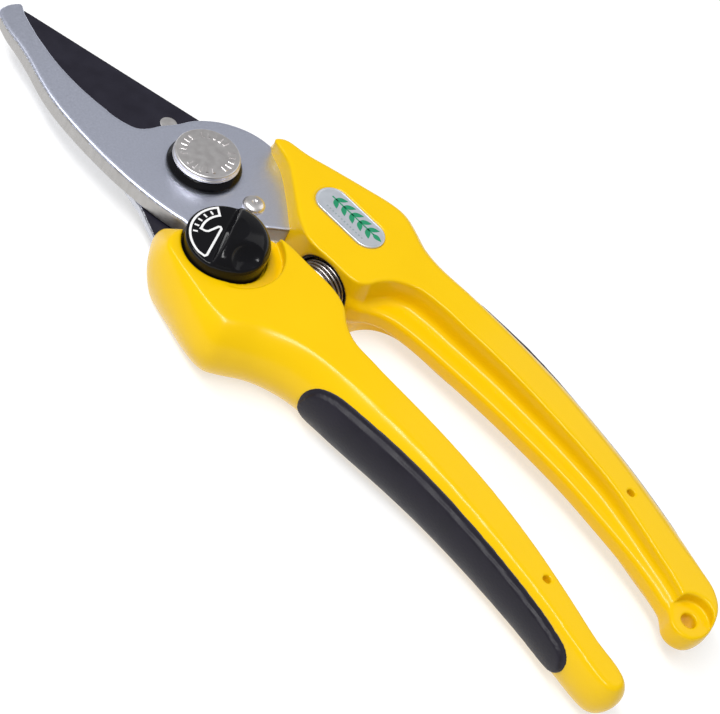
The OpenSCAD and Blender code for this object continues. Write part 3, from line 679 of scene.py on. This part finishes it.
def arc(r, a0, a1, count=18):
    """Points round the origin from angle a0 to a1 in degrees."""
    return [[r * math.cos(math.radians(a)), r * math.sin(math.radians(a))]
            for a in np.linspace(a0, a1, count)]


ARROW = arc(8.2, 64, 176) + [[-7.9, -0.9], [-7.3, -1.0], [0.2, 2.6], [0.4, 3.1],
                             [0.1, 3.35], [-2.6, 3.6], [-3.1, 3.95], [-3.5, 5.0]] \
    + arc(6.0, 122, 66, 12)
finish_piece(ribbon("dial_arrow", ARROW, 0.5, DIAL_TOP - 0.1, DIAL_TOP + 0.05, at=DIAL),
             WHITE, "dial")
DIAL_TICKS = [[DIAL[0] + 7.1 * math.cos(math.radians(a)),
               DIAL[1] + 7.1 * math.sin(math.radians(a)), 1.15, 0.5, a]
              for a in (78, 92, 106, 120, 134)]
finish_piece(bars("dial_marks", DIAL_TICKS, DIAL_TOP - 0.1, DIAL_TOP + 0.05), WHITE,
             "dial")

# ---- badge ----

BADGE_FACE = 8.97


def badge_field(x, y, z):
    plate = meet(capsule(x, y, BADGE, BADGE_R, BADGE_LENGTH),
                 np.abs(z - BADGE_Z) - BADGE_HALF, 0.35)
    sunk = np.maximum(capsule(x, y, BADGE, BADGE_R - 0.45, BADGE_LENGTH),
                      BADGE_FACE + 0.01 - z)
    return cut(plate, sunk, 0.2)


finish_piece(surface("badge_shield", badge_field, (10, -41, 8), (19.5, -20, 9.6),
                     0.18), PLATE, "hook_side", ["badge"])


def leaf(length, width, count=14):
    """Outline of a pointed leaf along X."""
    t = np.linspace(0, 1, count)
    side = width / 2 * np.sin(np.pi * t**0.8)
    return np.concatenate([np.stack([t * length, side], 1),
                           np.stack([t * length, -side], 1)[::-1][1:-1]])


def plates(name, shapes, low, high):
    """Thin flat shapes with straight sides, in one mesh."""
    points, faces = [], []
    for shape in shapes:
        base, n = len(points), len(shape)
        points += [[*q, low] for q in shape] + [[*q, high] for q in shape]
        faces.append([base + i for i in range(n)][::-1])
        faces.append([base + n + i for i in range(n)])
        faces += [[base + i, base + (i + 1) % n, base + n + (i + 1) % n, base + n + i]
                  for i in range(n)]
    return add_mesh(name, points, faces, smooth=False)


def placed(shape, at, angle):
    """Shape turned by an angle in degrees and moved."""
    c, s = math.cos(math.radians(angle)), math.sin(math.radians(angle))
    return np.array(shape) @ np.array([[c, s], [-s, c]]) + at


STEM_X = BADGE[0] + 0.9
LEAF_PITCH, LEAF_TILT = 2.5, 42
LEAVES = []
for k in range(5):
    for side in (-1, 1):
        LEAVES.append(placed(leaf(2.9, 1.25), (STEM_X, BADGE[1] + 5.6 - LEAF_PITCH * k),
                             -90 + LEAF_TILT * side))
LEAVES.append(placed(leaf(2.6, 1.2), (STEM_X, BADGE[1] - 6.2), -90))
LEAVES.append(placed([[-6.4, -0.16], [6.6, -0.16], [6.6, 0.16], [-6.4, 0.16]],
                     (STEM_X, BADGE[1]), 90))
finish_piece(plates("badge_sprig", LEAVES, BADGE_FACE - 0.05, BADGE_FACE + 0.05), GREEN,
             "hook_side")
LINES = [[BADGE[0] - 2.2, BADGE[1] - 5.6 + 0.9 * k, 0.5, 0.45, 0] for k in range(13)]
finish_piece(bars("badge_dashes", LINES, BADGE_FACE - 0.05, BADGE_FACE + 0.04), GREY,
             "hook_side")

# ---- spring and its cups ----

TURNS, PER_TURN, ROUND = 11.5, 40, 10  # wire sections per turn, points per section
COIL_HALF = 6.25
COIL_X = np.linspace(-COIL_HALF, COIL_HALF, int(TURNS * PER_TURN) + 1)


def coil():
    """Round wire wound along X."""
    count = len(COIL_X) - 1
    points, faces = [], []
    for i, x in enumerate(COIL_X):
        a = 2 * math.pi * i / PER_TURN
        for j in range(ROUND):
            b = 2 * math.pi * j / ROUND
            r = COIL_R + WIRE_R * math.cos(b)
            points.append([x + WIRE_R * math.sin(b), SPRING_Y + r * math.cos(a),
                           r * math.sin(a)])
    for i in range(count):
        for j in range(ROUND):
            m = (j + 1) % ROUND
            faces.append([i * ROUND + j, i * ROUND + m, (i + 1) * ROUND + m,
                          (i + 1) * ROUND + j])
    faces.append(list(range(ROUND)))
    faces.append([count * ROUND + j for j in range(ROUND)][::-1])
    return add_mesh("spring_coil", points, faces)


spring = coil()
spring.data.materials.append(SPRING)
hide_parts("return_spring")
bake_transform(spring)


def cup(name, side):
    """Cup with a floor and a rounded rim, open towards the gap."""
    inner, mouth, floor_x = 6.65, 2.5, CUP_X - 1.0
    profile = rounded([[0.01, CUP_X], [CUP_R, CUP_X], [CUP_R, mouth], [inner, mouth],
                       [inner, floor_x], [0.01, floor_x]], 0.2)
    count = 64
    points, faces = [], []
    for r, x in profile:
        for i in range(count):
            a = 2 * math.pi * i / count
            points.append([side * x, SPRING_Y + r * math.cos(a), r * math.sin(a)])
    for k in range(len(profile) - 1):
        for i in range(count):
            j = (i + 1) % count
            face = [k * count + i, k * count + j, (k + 1) * count + j,
                    (k + 1) * count + i]
            faces.append(face if side < 0 else face[::-1])
    last = (len(profile) - 1) * count
    first = list(range(count))
    faces.append(first if side > 0 else first[::-1])
    end = [last + i for i in first]
    faces.append(end[::-1] if side > 0 else end)
    return add_mesh(name, points, faces)


finish_piece(cup("hook_cup", 1), CUP, "hook_side", ["hook_spring_cup"])
finish_piece(cup("blade_cup", -1), CUP, "blade_side", ["blade_spring_cup"])

# ---- carried CAD nodes ----

for node, mat in (("pivot_bush", BRASS), ("pivot_washer", STEEL), ("pivot_nut", NICKEL),
                  ("dial_spindle", BRIGHT), ("dial_washer", BRIGHT),
                  ("dial_clip", SPRING)):
    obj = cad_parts[node]
    obj.data.materials.clear()
    obj.data.materials.append(mat)

# ---- stage ----

FLOOR_LIGHT, WORLD_LIGHT = 0.6, 0.32


def stage_plane(name, half, z):
    """Square of the stage, given in metres."""
    mesh = bpy.data.meshes.new(name)
    mesh.from_pydata([(-half, -half, z), (half, -half, z), (half, half, z),
                      (-half, half, z)], [], [(0, 1, 2, 3)])
    obj = bpy.data.objects.new(name, mesh)
    bpy.context.scene.collection.objects.link(obj)
    return obj


floor = stage_plane("floor", 6.0, 0.0)
# a dim base with some light of its own keeps the floor white without colour bleed
pale = material("pale_floor", (0.42, 0.42, 0.42), (0.40, 0.40, 0.40), (0.7, 0.8),
                size=40, bump=0.02, bump_size=4)
shader = pale.node_tree.nodes["Principled BSDF"]
shader.inputs["Emission Color"].default_value = (1, 1, 1, 1)
shader.inputs["Emission Strength"].default_value = FLOOR_LIGHT
floor.data.materials.append(pale)

bpy.context.scene.view_settings.view_transform = "Standard"
world = bpy.data.worlds.new("studio")
bpy.context.scene.world = world
world.use_nodes = True
world.node_tree.nodes["Background"].inputs["Color"].default_value = (1, 1, 1, 1)
world.node_tree.nodes["Background"].inputs["Strength"].default_value = WORLD_LIGHT


def softbox(name, at, look, size, power):
    """Rectangular lamp at a place in metres, turned to look at a point."""
    data = bpy.data.lights.new(name, "AREA")
    data.shape, data.size, data.size_y = "RECTANGLE", size[0], size[1]
    data.energy = power
    obj = bpy.data.objects.new(name, data)
    bpy.context.scene.collection.objects.link(obj)
    obj.location = at
    obj.rotation_mode = "QUATERNION"
    obj.rotation_quaternion = (Vector(look) - Vector(at)).to_track_quat("-Z", "Y")


softbox("key", (-0.32, 0.12, 0.85), (0, 0, 0), (0.9, 0.16), 8.6)
softbox("fill", (0.7, -0.2, 0.6), (0, 0, 0), (0.6, 0.6), 0.9)

# camera fitted to the photo's circles and outlines
CAMERA_AT = PIVOT + np.array([-198.0, -136.2, 237.5]) * MM
RIGHT, UP, BACK = (0.656, -0.691, 0.301), (0.441, 0.676, 0.590), (-0.611, -0.254, 0.749)
camera = bpy.data.objects.new("camera", bpy.data.cameras.new("camera"))
bpy.context.scene.collection.objects.link(camera)
camera.data.lens, camera.data.sensor_width = 75.15, 36.0
camera.data.clip_start, camera.data.clip_end = 0.01, 20.0
turn = Matrix([RIGHT, UP, BACK]).transposed()
camera.matrix_world = Matrix.Translation(CAMERA_AT) @ turn.to_4x4()
bpy.context.scene.camera = camera
